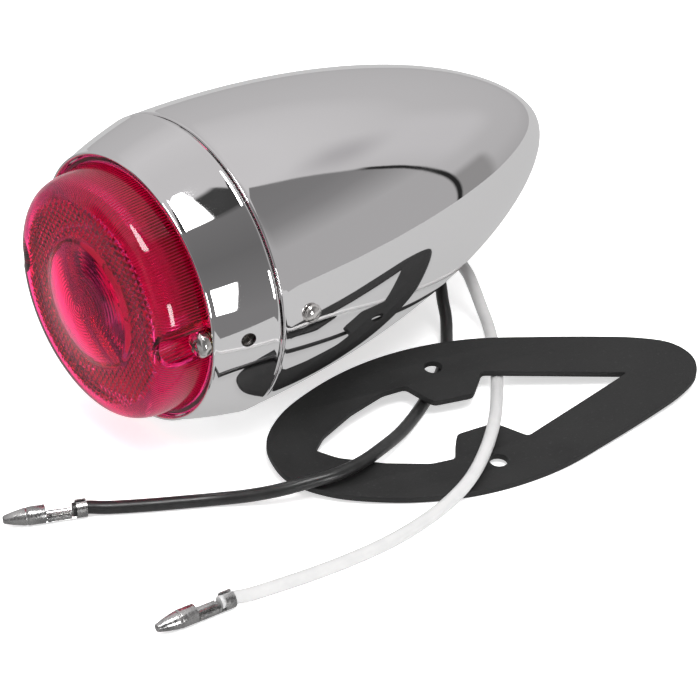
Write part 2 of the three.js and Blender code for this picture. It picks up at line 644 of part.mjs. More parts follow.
addPiece(lamp, 'reflector', reflector(), WHITE_PAINT);
addPiece(lamp, 'bulb_socket', bulbSocket(), ZINC_STEEL);
addPiece(lamp, 'contact_carrier', contactCarrier(), INSULATION);
addPiece(lamp, 'contact_button', contactButton(), BRASS);
addPiece(lamp, 'contact_spring', contactSpring(), ZINC_STEEL);
addPiece(lamp, 'bulb_glass', bulbGlass(), CLEAR_GLASS);
addPiece(lamp, 'bulb_base', bulbBase(), BRASS);
addPiece(lamp, 'bulb_pin_top', bulbPin(1), BRASS);
addPiece(lamp, 'bulb_pin_bottom', bulbPin(-1), BRASS);
addPiece(lamp, 'bulb_insulator', bulbInsulator(), INSULATION);
addPiece(lamp, 'bulb_contact', bulbContact(), SOLDER);
addPiece(lamp, 'bulb_filament', bulbFilament(), TUNGSTEN);
addPiece(lamp, 'black_lead', tube(BLACK_LEAD, WIRE_RADIUS, 14), BLACK_VINYL);
addPiece(lamp, 'white_lead', tube(WHITE_LEAD, WIRE_RADIUS, 14), WHITE_VINYL);

// The opening's own frame: its XY plane is the sloping cut, with +Z into the housing
const opening = new THREE.Group();
opening.position.set(CUT_ORIGIN_X, 0, CUT_FRONT_Z + CUT_SLOPE * (CUT_ORIGIN_X - CUT_FRONT_X));
opening.rotation.y = -Math.atan(CUT_SLOPE);
lamp.add(opening);
addPiece(opening, 'mounting_bar', mountingBar(), ZINC_STEEL);
addPiece(opening, 'wire_grommet', wireGrommet(), BLACK_RUBBER);
for (const [name, side] of SIDES) {
  addPiece(opening, `mounting_nut_${name}`, mountingNut(side), ZINC_STEEL);
}

/** Adds a connector whose crimp closes over the last piece of a wire's route. */
function addConnector(name, route) {
  const end = new THREE.Vector3(...route.at(-1));
  const along = end.clone().sub(new THREE.Vector3(...route.at(-2))).normalize();
  const connector = addPiece(tailLight, name, bulletConnector(), TINNED);
  connector.rotation.z = Math.atan2(along.y, along.x);
  connector.position.copy(end).addScaledVector(along, -CRIMP_GRIP);
}

addPiece(tailLight, 'black_wire', tube(BLACK_ROUTE, WIRE_RADIUS, 44), BLACK_VINYL);
addPiece(tailLight, 'white_wire', tube(WHITE_ROUTE, WIRE_RADIUS, 44), WHITE_VINYL);
addConnector('black_connector', BLACK_ROUTE);
addConnector('white_connector', WHITE_ROUTE);

const gasketPlace = new THREE.Group();
gasketPlace.position.set(GASKET_X, GASKET_Y, 0);
gasketPlace.rotation.set(GASKET_TILT, 0, GASKET_TURN, 'ZXY');
tailLight.add(gasketPlace);
addPiece(gasketPlace, 'gasket', gasket(), BLACK_RUBBER).position.z = GASKET_LIFT;

export default tailLight;
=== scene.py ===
"""Looks of a bullet tail light with a loose rubber gasket and two wires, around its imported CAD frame.

Positions are in metres in the frame's own axes: +X runs from the lens to the tail. Profiles of turned
pieces are lists of (x, radius) in millimetres along the lamp's axis, x = 0 close to the seam.
"""

import math

import bmesh
import bpy
from mathutils import Matrix, Vector


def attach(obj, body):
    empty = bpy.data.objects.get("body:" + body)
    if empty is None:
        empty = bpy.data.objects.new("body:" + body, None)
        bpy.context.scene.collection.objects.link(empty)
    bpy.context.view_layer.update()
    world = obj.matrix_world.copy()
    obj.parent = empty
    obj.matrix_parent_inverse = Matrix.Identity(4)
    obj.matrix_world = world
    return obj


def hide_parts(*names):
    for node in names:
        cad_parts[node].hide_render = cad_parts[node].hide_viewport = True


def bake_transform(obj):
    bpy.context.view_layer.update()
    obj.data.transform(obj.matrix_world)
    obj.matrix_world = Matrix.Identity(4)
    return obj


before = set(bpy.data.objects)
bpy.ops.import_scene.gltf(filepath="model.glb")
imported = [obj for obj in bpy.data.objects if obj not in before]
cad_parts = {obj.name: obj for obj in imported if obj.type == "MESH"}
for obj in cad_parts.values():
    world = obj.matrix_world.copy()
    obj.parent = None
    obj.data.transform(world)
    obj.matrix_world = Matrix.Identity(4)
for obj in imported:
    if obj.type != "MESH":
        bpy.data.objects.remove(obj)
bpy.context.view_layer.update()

MM = 0.001
LAMP = Vector((-0.0359, 0.0188, 0.0339))
SIDES = (("right", -1), ("left", 1))

# ---------------------------------------------------------------- camera

CAMERA_PLACE = (-0.3532, -0.4225, 0.3696)
CAMERA_BACK = Vector((-0.5307, -0.6447, 0.5502))
CAMERA_LENS = 154.5

camera = bpy.data.objects.new("camera", bpy.data.cameras.new("camera"))
camera.data.lens = CAMERA_LENS
camera.data.sensor_width = 36.0
camera.data.clip_start = 0.01
camera.location = CAMERA_PLACE
camera.rotation_euler = CAMERA_BACK.to_track_quat("Z", "Y").to_euler()
bpy.context.scene.collection.objects.link(camera)
bpy.context.scene.camera = camera
bpy.context.scene.view_settings.view_transform = "Standard"

# ---------------------------------------------------------------- cord routes

WIRE_RADIUS = 0.0014
BLACK_ROUTE = [
    (0.0284, 0.0159, 0.0247), (0.0293, 0.0159, 0.0212), (0.03, 0.0152, 0.0172),
    (0.0296, 0.0126, 0.0128), (0.028, 0.0086, 0.0092), (0.0261, 0.0054, 0.0066),
    (0.0245, 0.0024, 0.0042), (0.0223, -0.0004, 0.0024), (0.0192, -0.0039, 0.0015),
    (0.0143, -0.0086, 0.00145), (0.0078, -0.0135, 0.00145), (0.0014, -0.0172, 0.00145),
    (-0.0048, -0.0206, 0.0017), (-0.0118, -0.0243, 0.0027), (-0.02, -0.028, 0.0045),
    (-0.0267, -0.03, 0.0053), (-0.0333, -0.0299, 0.0052), (-0.0396, -0.0277, 0.0046),
    (-0.0444, -0.0253, 0.0037), (-0.0497, -0.0212, 0.0023), (-0.0552, -0.0169, 0.0015),
    (-0.0618, -0.0129, 0.00145), (-0.068, -0.0091, 0.00145), (-0.0742, -0.005, 0.0015),
    (-0.0778, -0.0028, 0.002), (-0.0806, -0.0015, 0.002),
]
WHITE_ROUTE = [
    (0.0284, 0.0217, 0.0247), (0.0293, 0.0217, 0.0212), (0.0309, 0.0206, 0.0174),
    (0.0332, 0.017, 0.0142), (0.0347, 0.0122, 0.012), (0.035, 0.0076, 0.0097),
    (0.0342, 0.0038, 0.0071), (0.033, 0.0002, 0.0048), (0.0314, -0.0039, 0.0029),
    (0.0288, -0.0084, 0.0018), (0.0247, -0.0141, 0.0015), (0.0194, -0.0206, 0.0019),
    (0.0147, -0.0258, 0.0028), (0.0105, -0.0303, 0.004), (0.0059, -0.035, 0.0051),
    (0.0007, -0.0396, 0.0055), (-0.0044, -0.0433, 0.0051), (-0.0095, -0.0463, 0.0044),
    (-0.015, -0.0486, 0.0037), (-0.022, -0.0502, 0.0028), (-0.03, -0.0509, 0.002),
    (-0.038, -0.0509, 0.0015), (-0.0475, -0.0503, 0.00145), (-0.0558, -0.0492, 0.00145),
    (-0.0638, -0.0477, 0.00145), (-0.0695, -0.0465, 0.0015), (-0.0732, -0.0457, 0.002),
    (-0.0761, -0.0454, 0.002),
]
BLACK_LEAD = [
    (0.0205, 0, 0), (0.026, 0, 0), (0.033, -0.0006, 0.0006), (0.042, -0.0016, 0.0016),
    (0.051, -0.0024, 0.002), (0.0575, -0.0029, 0.0004), (0.0614, -0.0029, -0.002),
    (0.0629, -0.0029, -0.0044), (0.0636, -0.0029, -0.0068), (0.0642, -0.0029, -0.009),
]
WHITE_LEAD = [
    (0.0171, 0.0112, 0), (0.021, 0.0112, 0.0002), (0.029, 0.01, 0.0018), (0.039, 0.007, 0.003),
    (0.049, 0.0044, 0.0028), (0.057, 0.003, 0.0008), (0.0614, 0.0029, -0.002),
    (0.0629, 0.0029, -0.0044), (0.0636, 0.0029, -0.0068), (0.0642, 0.0029, -0.009),
]

# ---------------------------------------------------------------- node helpers


class Graph:
    """A node tree that is built up by calls; each returns a socket."""

    def __init__(self, tree):
        self.tree = tree
        tree.nodes.clear()

    def node(self, kind, inputs=None, **settings):
        made = self.tree.nodes.new(kind)
        for key, value in settings.items():
            setattr(made, key, value)
        for key, value in (inputs or {}).items():
            if isinstance(value, bpy.types.NodeSocket):
                self.tree.links.new(value, made.inputs[key])
            else:
                made.inputs[key].default_value = value
        return made

    def math(self, operation, *values):
        return self.node("ShaderNodeMath", dict(enumerate(values)), operation=operation).outputs[0]

    def step(self, value, low, high, start=0.0, end=1.0):
        """start below low, end above high, with a smooth change between."""
        inputs = {"Value": value, "From Min": low, "From Max": high, "To Min": start, "To Max": end}
        return self.node("ShaderNodeMapRange", inputs, interpolation_type="SMOOTHSTEP").outputs[0]

    def mix(self, share, first, second):
        made = self.node("ShaderNodeMix", data_type="RGBA")
        for index, value in ((0, share), (6, first), (7, second)):
            if isinstance(value, bpy.types.NodeSocket):
                self.tree.links.new(value, made.inputs[index])
            else:
                made.inputs[index].default_value = value
        return made.outputs[2]

    def ramp(self, value, stops):
        made = self.node("ShaderNodeValToRGB", {"Fac": value})
        elements = made.color_ramp.elements
        while len(elements) < len(stops):
            elements.new(0.5)
        for element, (place, colour) in zip(elements, stops):
            element.position = place
            element.color = colour
        return made.outputs["Color"]

    def place(self):
        return self.node("ShaderNodeTexCoord").outputs["Object"]

    def noise(self, scale, detail=2.0, stretch=None):
        """Noise at scale features a metre, drawn out along an axis by stretch."""
        where = self.place()
        if stretch:
            where = self.node("ShaderNodeMapping", {"Vector": where, "Scale": stretch}).outputs[0]
        inputs = {"Vector": where, "Scale": scale, "Detail": detail}
        return self.node("ShaderNodeTexNoise", inputs).outputs["Fac"]

    def bump(self, height, distance, normal=None):
        inputs = {"Height": height, "Distance": distance, "Strength": 1.0}
        if normal is not None:
            inputs["Normal"] = normal
        return self.node("ShaderNodeBump", inputs).outputs[0]


def grey(level, warmth=0.0):
    return (level * (1 + warmth), level, level * (1 - warmth), 1.0)


def new_material(name):
    material = bpy.data.materials.new(name)
    material.use_nodes = True
    return material, Graph(material.node_tree)


def finish_material(graph, shader):
    graph.node("ShaderNodeOutputMaterial", {"Surface": shader.outputs[0]})


# ---------------------------------------------------------------- materials


def chrome_material():
    """Mirror plating with the slight waviness of buffed metal and a faint haze."""
    material, g = new_material("chrome")
    wave = g.bump(g.noise(55.0, 1.0), 0.00006)
    fine = g.bump(g.noise(900.0, 2.0), 0.0000006, wave)
    haze = g.step(g.noise(120.0, 4.0), 0.35, 0.75, 0.015, 0.05)
    finish_material(g, g.node("ShaderNodeBsdfPrincipled", {
        "Base Color": (0.93, 0.92, 0.925, 1), "Metallic": 1.0, "Roughness": haze, "Normal": fine,
    }))
    return material


def plated_steel_material(name, colour, tint, roughness, grain=2500.0):
    """Plated or tinned steel: patches of a second tint, fine grain and uneven gloss."""
    material, g = new_material(name)
    patches = g.step(g.noise(260.0, 4.0), 0.4, 0.65)
    gloss = g.step(g.noise(grain, 3.0), 0.3, 0.7, roughness * 0.7, roughness * 1.4)
    finish_material(g, g.node("ShaderNodeBsdfPrincipled", {
        "Base Color": g.mix(patches, colour, tint), "Metallic": 1.0, "Roughness": gloss,
        "Normal": g.bump(g.noise(grain, 4.0), 0.00001),
    }))
    return material


def red_lens_material():
    """Clear red acrylic: light from lamps passes straight through with the red tint."""
    material, g = new_material("red_lens")
    smear = g.step(g.noise(90.0, 3.0), 0.3, 0.8, 0.0, 0.035)
    plastic = g.node("ShaderNodeBsdfPrincipled", {
        "Base Color": (0.80, 0.035, 0.20, 1), "Roughness": smear, "IOR": 1.49,
        "Transmission Weight": 1.0,
    })
    see_through = g.node("ShaderNodeBsdfTransparent", {"Color": (0.90, 0.19, 0.45, 1)})
    shadow = g.node("ShaderNodeLightPath").outputs["Is Shadow Ray"]
    mixed = g.node("ShaderNodeMixShader", {
        0: shadow, 1: plastic.outputs[0], 2: see_through.outputs[0],
    })
    finish_material(g, mixed)
    return material


def clear_glass_material():
    material, g = new_material("clear_glass")
    smear = g.step(g.noise(150.0, 3.0), 0.4, 0.8, 0.0, 0.04)
    glass = g.node("ShaderNodeBsdfPrincipled", {
        "Base Color": (0.97, 0.99, 0.99, 1), "Roughness": smear, "IOR": 1.5,
        "Transmission Weight": 1.0,
    })
    see_through = g.node("ShaderNodeBsdfTransparent", {"Color": (0.97, 0.98, 0.98, 1)})
    shadow = g.node("ShaderNodeLightPath").outputs["Is Shadow Ray"]
    mixed = g.node("ShaderNodeMixShader", {
        0: shadow, 1: glass.outputs[0], 2: see_through.outputs[0],
    })
    finish_material(g, mixed)
    return material


def soft_material(name, dark, light, roughness, scale, depth, coat=0.0):
    """Rubber, vinyl, paint or moulded plastic: mottled colour and a fine skin."""
    material, g = new_material(name)
    mottle = g.step(g.noise(scale, 5.0), 0.3, 0.7)
    gloss = g.step(g.noise(scale * 1.7, 3.0), 0.3, 0.7, roughness * 0.85, min(1.0, roughness * 1.2))
    finish_material(g, g.node("ShaderNodeBsdfPrincipled", {
        "Base Color": g.mix(mottle, dark, light), "Roughness": gloss,
        "Normal": g.bump(g.noise(scale * 4, 4.0), depth), "Coat Weight": coat, "Coat Roughness": 0.2,
    }))
    return material


def rubber_material():
    """Moulded sheet rubber: near black, a fine pebbled skin, dusty lighter specks."""
    material, g = new_material("black_rubber")
    clouds = g.step(g.noise(60.0, 5.0), 0.35, 0.7)
    specks = g.step(g.noise(1500.0, 2.0), 0.62, 0.72)
    body = g.mix(clouds, grey(0.011), grey(0.018))
    colour = g.mix(g.math("MULTIPLY", specks, 0.5), body, grey(0.03))
    skin = g.bump(g.noise(2600.0, 5.0), 0.00004, g.bump(g.noise(300.0, 3.0), 0.00006))
    finish_material(g, g.node("ShaderNodeBsdfPrincipled", {
        "Base Color": colour, "Roughness": g.step(clouds, 0.0, 1.0, 0.55, 0.75), "Normal": skin,
        "Specular IOR Level": 0.4,
    }))
    return material


MATERIALS = {
    "chrome": chrome_material(),
    "zinc_steel": plated_steel_material("zinc_steel", grey(0.58, 0.03), grey(0.46, 0.08), 0.28),
    "yellow_zinc": plated_steel_material(
        "yellow_zinc", (0.72, 0.63, 0.44, 1), (0.55, 0.5, 0.36, 1), 0.22),
    "screw_steel": plated_steel_material("screw_steel", grey(0.86, 0.02), grey(0.75, 0.03), 0.17),
    "tinned": plated_steel_material("tinned", grey(0.66, 0.01), grey(0.45), 0.24, 1800.0),
    "brass": plated_steel_material("brass", (0.66, 0.47, 0.2, 1), (0.5, 0.34, 0.14, 1), 0.25),
    "solder": plated_steel_material("solder", grey(0.5), grey(0.35), 0.4),
    "tungsten": plated_steel_material("tungsten", grey(0.3), grey(0.2), 0.4),
    "red_lens": red_lens_material(),
    "clear_glass": clear_glass_material(),
    "white_paint": soft_material(
        "white_paint", grey(0.78, 0.01), grey(0.84, 0.01), 0.25, 300.0, 0.00001),
    "insulation": soft_material("insulation", grey(0.02), grey(0.05, 0.1), 0.6, 700.0, 0.00003),
    "black_rubber": rubber_material(),
    "black_vinyl": soft_material(
        "black_vinyl", grey(0.012), grey(0.018), 0.34, 500.0, 0.00001, 0.2),
    "white_vinyl": soft_material(
        "white_vinyl", grey(0.54), grey(0.57, 0.005), 0.38, 400.0, 0.00001, 0.2),
}

# ---------------------------------------------------------------- mesh helpers


def add_object(name, data):
    made = bpy.data.objects.new(name, data)
    bpy.context.scene.collection.objects.link(made)
    return made


def soften(profile, radius, steps=3):
    """The profile with each corner off the axis rounded by up to radius. Its ends stay as they are."""
    closed = profile[0] == profile[-1]
    points = profile[:-1] if closed else profile
    out = []
    for index, corner in enumerate(points):
        last = index == len(points) - 1
        if corner[1] == 0 or (not closed and (index == 0 or last)):
            out.append(corner)
            continue
        ends = []
        for other in (points[index - 1], points[(index + 1) % len(points)]):
            length = math.dist(corner, other)
            share = min(radius, 0.45 * length) / length
            ends.append([c + (o - c) * share for c, o in zip(corner, other)])
        for step in range(steps + 1):
            t = step / steps
            out.append(tuple(
                (1 - t) ** 2 * a + 2 * t * (1 - t) * c + t * t * b
                for a, c, b in zip(ends[0], corner, ends[1])
            ))
    return out + [out[0]] if closed else out


def turned_mesh(profile, segments, wobble=None):
    """A solid of revolution about +X, in metres, from (x, radius) in millimetres.
    wobble(x, radius, angle) may give another radius."""
    closed = profile[0] == profile[-1]
    points = profile[:-1] if closed else profile
    vertices, rings = [], []
    for x, radius in points:
        if radius == 0:
            rings.append([len(vertices)] * segments)
            vertices.append((x * MM, 0.0, 0.0))
            continue
        rings.append(range(len(vertices), len(vertices) + segments))
        for index in range(segments):
            angle = 2 * math.pi * index / segments
            r = (wobble(x, radius, angle) if wobble else radius) * MM
            vertices.append((x * MM, r * math.cos(angle), r * math.sin(angle)))
    faces = []
    pairs = list(zip(rings, rings[1:]))
    if closed:
        pairs.append((rings[-1], rings[0]))
    for low, high in pairs:
        for a in range(segments):
            b = (a + 1) % segments
            corners = [low[a], low[b], high[b], high[a]]
            face = list(dict.fromkeys(corners))
            if len(face) > 2:
                faces.append(face)
    mesh = bpy.data.meshes.new("turned")
    mesh.from_pydata(vertices, [], faces)
    outward(mesh)
    return mesh


def outward(mesh):
    """Turns every face of a closed mesh outward."""
    bm = bmesh.new()
    bm.from_mesh(mesh)
    bmesh.ops.recalc_face_normals(bm, faces=bm.faces)
    bm.to_mesh(mesh)
    bm.free()


def smooth(obj, angle=32.0):
    obj.data.shade_smooth()
    obj.data.set_sharp_from_angle(angle=math.radians(angle))
    return obj


def carve(obj, cutters, operation="DIFFERENCE"):
    """Cuts each cutter out of obj, or adds it, and removes the cutters."""
    for cutter in cutters:
        modifier = obj.modifiers.new("carve", "BOOLEAN")
        modifier.operation = operation
        modifier.solver = "MANIFOLD"
        modifier.object = cutter
    apply_modifiers(obj)
    for cutter in cutters:
        bpy.data.objects.remove(cutter)
    return obj


def apply_modifiers(obj):
    depsgraph = bpy.context.evaluated_depsgraph_get()
    mesh = bpy.data.meshes.new_from_object(obj.evaluated_get(depsgraph))
    obj.modifiers.clear()
    obj.data = mesh


def rod(low, high, radius, segments=48, axis="X", centre=(0, 0)):
    """A cylinder for cutting, in millimetres along an axis of the lamp."""
    outline = [(low, 0), (low, radius), (high, radius), (high, 0)]
    obj = add_object("cutter", turned_mesh(outline, segments))
    turn, shift = {
        "X": (Matrix(), (0, *centre)),
        "Y": (Matrix.Rotation(math.pi / 2, 4, "Z"), (centre[0], 0, centre[1])),
        "Z": (Matrix.Rotation(-math.pi / 2, 4, "Y"), (*centre, 0)),
    }[axis]
    obj.data.transform(Matrix.Translation(Vector(shift) * MM) @ turn)
    return obj


def block(low, high):
    """A box for cutting, in millimetres."""
    bm = bmesh.new()
    bmesh.ops.create_cube(bm, size=1.0)
    mesh = bpy.data.meshes.new("block")
    bm.to_mesh(mesh)
    bm.free()
    size = [h - l for l, h in zip(low, high)]
    middle = [(h + l) / 2 for l, h in zip(low, high)]
    mesh.transform(Matrix.Translation(Vector(middle) * MM) @ Matrix.Diagonal((*size, 1 / MM)) * MM)
    return add_object("cutter", mesh)


def settle(obj, name, body, material, nodes, place=Matrix.Translation(LAMP)):
    """Names a finished piece, puts it in place, gives it its material, hangs it on its body and hides
    the CAD nodes it stands for.
    """
    obj.name = name
    obj.data.name = name
    obj.data.transform(place)
    obj.data.materials.clear()
    obj.data.materials.append(MATERIALS[material])
    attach(obj, body)
    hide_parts(*nodes)
    return obj


# ---------------------------------------------------------------- cords


def spline_points(points, steps=8):
    """Points along a smooth curve through the given ones."""
    knots = [Vector(p) for p in points]
    knots = [2 * knots[0] - knots[1], *knots, 2 * knots[-1] - knots[-2]]
    out = []
    for a, b, c, d in zip(knots, knots[1:], knots[2:], knots[3:]):
        for step in range(steps):
            t = step / steps
            out.append(0.5 * (2 * b + (c - a) * t + (2 * a - 5 * b + 4 * c - d) * t * t
                              + (3 * b - a - 3 * c + d) * t ** 3))
    return out + [knots[-2]]


def round_curve(name, route, radius=WIRE_RADIUS, offset=None):
    """A round strand along a smooth curve through the route's points."""
    curve = bpy.data.curves.new(name, "CURVE")
    curve.dimensions = "3D"
    curve.bevel_depth = radius
    curve.bevel_resolution = 6
    curve.use_fill_caps = True
    points = spline_points(route)
    spline = curve.splines.new("POLY")
    spline.points.add(len(points) - 1)
    for target, point in zip(spline.points, points):
        target.co = (*(point + offset if offset else point), 1.0)
    spline.use_smooth = True
    return add_object(name, curve)


def finish_strand(obj, material, node):
    obj.data.materials.append(MATERIALS[material])
    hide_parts(node)
    return obj


def wire(name, route, slot, node, offset=None):
    """A strand that stays with the lamp."""
    obj = finish_strand(round_curve(name, route, offset=offset), slot, node)
    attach(obj, "lamp")
    return obj


def moving_strand(name, route, radius, material, node):
    """A round strand along the route, turned into a smooth mesh at the lamp's place."""
    source = round_curve(name, route, radius, LAMP)
    depsgraph = bpy.context.evaluated_depsgraph_get()
    mesh = bpy.data.meshes.new_from_object(source.evaluated_get(depsgraph))
    bpy.data.objects.remove(source)
    obj = smooth(add_object(name, mesh), 60)
    finish_strand(obj, material, node)
    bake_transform(obj)
    return obj


SPRING_WIRE_RADIUS = 0.00035
SPRING_TURNS = 3
SPRING_STEPS = 16
SPRING_RADIUS = 0.0058
SPRING_FRONT = 0.0195
SPRING_LENGTH = 0.0035


def spring_route():
    """Points of the coil spring behind the contact's carrier."""
    points = []
    for index in range(SPRING_TURNS * SPRING_STEPS + 1):
        angle = 2 * math.pi * index / SPRING_STEPS
        x = SPRING_FRONT + SPRING_LENGTH * index / (SPRING_TURNS * SPRING_STEPS)
        points.append((x, SPRING_RADIUS * math.cos(angle), SPRING_RADIUS * math.sin(angle)))
    return points


black_cord = wire("black_cord", BLACK_ROUTE, "black_vinyl", "black_wire")
white_cord = wire("white_cord", WHITE_ROUTE, "white_vinyl", "white_wire")
wire("white_inner_lead", WHITE_LEAD, "white_vinyl", "white_lead", LAMP)
moving_strand("black_inner_lead", BLACK_LEAD, WIRE_RADIUS, "black_vinyl", "black_lead")
moving_strand("coil_spring", spring_route(), SPRING_WIRE_RADIUS, "screw_steel",
              "contact_spring")

# ---------------------------------------------------------------- connectors

CRIMP_GRIP = 2.9


def rolled_sheet(x_low, x_high, radius, thickness, gap, start=90.0, squeeze=1.0):
    """A strip rolled into an open ring about +X: gap degrees are missing, centred on start."""
    bm = bmesh.new()
    count = 40
    rings = []
    for index in range(count + 1):
        angle = math.radians(start + gap / 2 + (360 - gap) * index / count)
        ring = []
        for x, r in ((x_low, radius - thickness), (x_low, radius),
                     (x_high, radius), (x_high, radius - thickness)):
            y = r * math.cos(angle)
            z = r * math.sin(angle) * squeeze
            ring.append(bm.verts.new((x * MM, y * MM, z * MM)))
        rings.append(ring)
    for low, high in zip(rings, rings[1:]):
        for a in range(4):
            bm.faces.new((low[a], low[(a + 1) % 4], high[(a + 1) % 4], high[a]))
    bm.faces.new(rings[0])
    bm.faces.new(rings[-1])
    bmesh.ops.recalc_face_normals(bm, faces=bm.faces)
    mesh = bpy.data.meshes.new("rolled")
    bm.to_mesh(mesh)
    bm.free()
    return add_object("rolled", mesh)


def join(objects):
    """One object with the meshes of all."""
    first = objects[0]
    bm = bmesh.new()
    for obj in objects:
        bm.from_mesh(obj.data)
    bm.to_mesh(first.data)
    bm.free()
    for obj in objects[1:]:
        bpy.data.objects.remove(obj)
    return first


def connector(name, route, node):
    """A male bullet: a crimp round the insulation, a rolled wire crimp and a hollow tapered barrel."""
    barrel = soften([
        (8.6, 1.6), (8.6, 1.95), (12.2, 1.95), (12.45, 1.72), (12.7, 1.88), (15.4, 1.35),
        (17.2, 0.85), (17.4, 0.6), (17.3, 0), (12, 0), (11.6, 1.6), (8.6, 1.6),
    ], 0.12)
    # the inner wall's pole points keep the barrel hollow from behind
    bullet = add_object("bullet", turned_mesh(barrel[:-1], 48))
    grip = rolled_sheet(0, 2.2, 1.95, 0.35, 24)
    rails = [
        rolled_sheet(3.3, 8.3, 0.95, 0.3, 60, start=90 - 25 * side, squeeze=0.95)
        for side in (-1, 1)
    ]
    for rail, side in zip(rails, (-1, 1)):
        rail.data.transform(Matrix.Translation((0, side * 0.72 * MM, -0.62 * MM)))
    spine = rolled_sheet(1.5, 9.5, 1.95, 0.35, 262, start=90)
    obj = join([bullet, grip, *rails, spine])
    smooth(obj)
    along = (Vector(route[-1]) - Vector(route[-2])).normalized()
    start = Vector(route[-1]) - along * CRIMP_GRIP * MM
    side = Vector((0, 0, 1)).cross(along).normalized()
    turn = Matrix((along, side, along.cross(side))).transposed().to_4x4()
    place = Matrix.Translation(start) @ turn
    return settle(obj, name, "lamp", "tinned", [node], place)


black_bullet = connector("black_bullet_connector", BLACK_ROUTE, "black_connector")
white_bullet = connector("white_bullet_connector", WHITE_ROUTE, "white_connector")

# ---------------------------------------------------------------- chromed shells

SEAM_RADIUS = 33.5
TAIL_LENGTH = 100.0
TAIL_FULLNESS = 0.6
HOUSING_WALL = 1.2
CUT_FRONT_X = 5.0
CUT_FRONT_Z = -31.5
CUT_SLOPE = 0.2575
SIDE_SCREW_X = 8.2
SIDE_SCREW_Z = 1.1
LENS_SCREW_Y = 26.8


def bullet_curve(start, radius, length, count):
    """Points of the bullet's outline from x = start to its tip, closer together at the tip."""
    first = math.asin(start / length)
    points = []
    for index in range(count):
        angle = first + (math.pi / 2 - first) * index / count
        points.append((length * math.sin(angle), radius * math.cos(angle) ** (2 * TAIL_FULLNESS)))
    return points + [(length, 0)]


def housing():
    """The bullet-shaped shell, rolled at its front edge and cut away underneath."""
    bead = soften([(0.85, 32.3), (0.85, 33.25), (1.0, 33.55), (1.3, 33.58), (1.6, 33.5)], 0.2, 8)
    outside = bullet_curve(1.8, SEAM_RADIUS, TAIL_LENGTH, 150)
    inside = bullet_curve(3.0, SEAM_RADIUS - HOUSING_WALL, TAIL_LENGTH - 1.8, 60)
    obj = add_object("shell", turned_mesh(inside[::-1] + bead[:-1] + outside, 320))
    below = add_object("cutter", slope_cutter_mesh())
    holes = rod(-40, 40, 1.7, axis="Y", centre=(SIDE_SCREW_X, SIDE_SCREW_Z))
    carve(obj, [below, holes])
    smooth(obj)
    return settle(obj, "housing_shell", "lamp", "chrome", ["housing"])


def slope_cutter_mesh():
    """What is missing under the housing: everything below the sloping seat."""
    front, rear, side, deep = CUT_FRONT_X, 110.0, 60.0, -60.0
    rise = CUT_FRONT_Z + CUT_SLOPE * (rear - front)
    outline = [(front, CUT_FRONT_Z), (rear, rise), (rear, deep), (front, deep)]
    vertices = [(x * MM, y * MM, z * MM) for y in (-side, side) for x, z in outline]
    faces = [(0, 1, 2, 3), (7, 6, 5, 4)]
    faces += [(a, a + 4, (a + 1) % 4 + 4, (a + 1) % 4) for a in range(4)]
    mesh = bpy.data.meshes.new("slope")
    mesh.from_pydata(vertices, [], faces)
    outward(mesh)
    return mesh


def bezel():
    """The ring that holds the lens: a slightly crowned cone with a bead at each edge."""
    crown = []
    for index in range(25):
        t = index / 24
        crown.append((-13.5 + 12.7 * t, 30.05 + 3.38 * t + 0.22 * 4 * t * (1 - t)))
    front = soften([
        (-13.3, 29.15), (-13.95, 29.12), (-14.45, 29.3), (-14.62, 29.65), (-14.4, 29.95), (-13.5, 30.05),
    ], 0.35, 8)
    rear = soften([
        (-0.8, 33.43), (-0.45, 33.56), (-0.1, 33.6), (0.2, 33.5), (0.35, 33.1), (0.35, 32.1),
        (-9.8, 30.1), (-9.8, 24.8), (-10.8, 24.8), (-10.8, 29.4), (-13.3, 29.15),
    ], 0.2, 8)
    profile = front[:-1] + crown + rear[1:]
    obj = add_object("ring", turned_mesh(profile, 360))
    holes = [rod(-40, 40, 1.6, axis="Y", centre=(-7.1, 0))]
    holes += [rod(-12, -9, 1.6, centre=(side * LENS_SCREW_Y, 0)) for _, side in SIDES]
    carve(obj, holes)
    smooth(obj)
    return settle(obj, "bezel_ring", "lamp", "chrome", ["bezel"])


housing()
bezel()

# ---------------------------------------------------------------- lens

LENS_FACE = -25.0
BULLSEYE_RADIUS = 14.1
BULLSEYE_RISE = 3.2
FLUTES = 240
FLUTE_DEPTH = 0.13
RING_PITCH = 0.74
RING_DEPTH = 0.008
PRISM_SIDE = 1.45
NOTCH_RIBS = 36


def dome(face, rise, count, rings=0.0):
    """The bullseye from its centre to its edge; rings adds ripples of that depth."""
    points = []
    for index in range(count + 1):
        r = BULLSEYE_RADIUS * index / count
        x = face - rise * (1 - (r / BULLSEYE_RADIUS) ** 2)
        ripple = rings * (1 - math.cos(2 * math.pi * r / RING_PITCH)) / 2
        points.append((x + ripple, r))
    return points


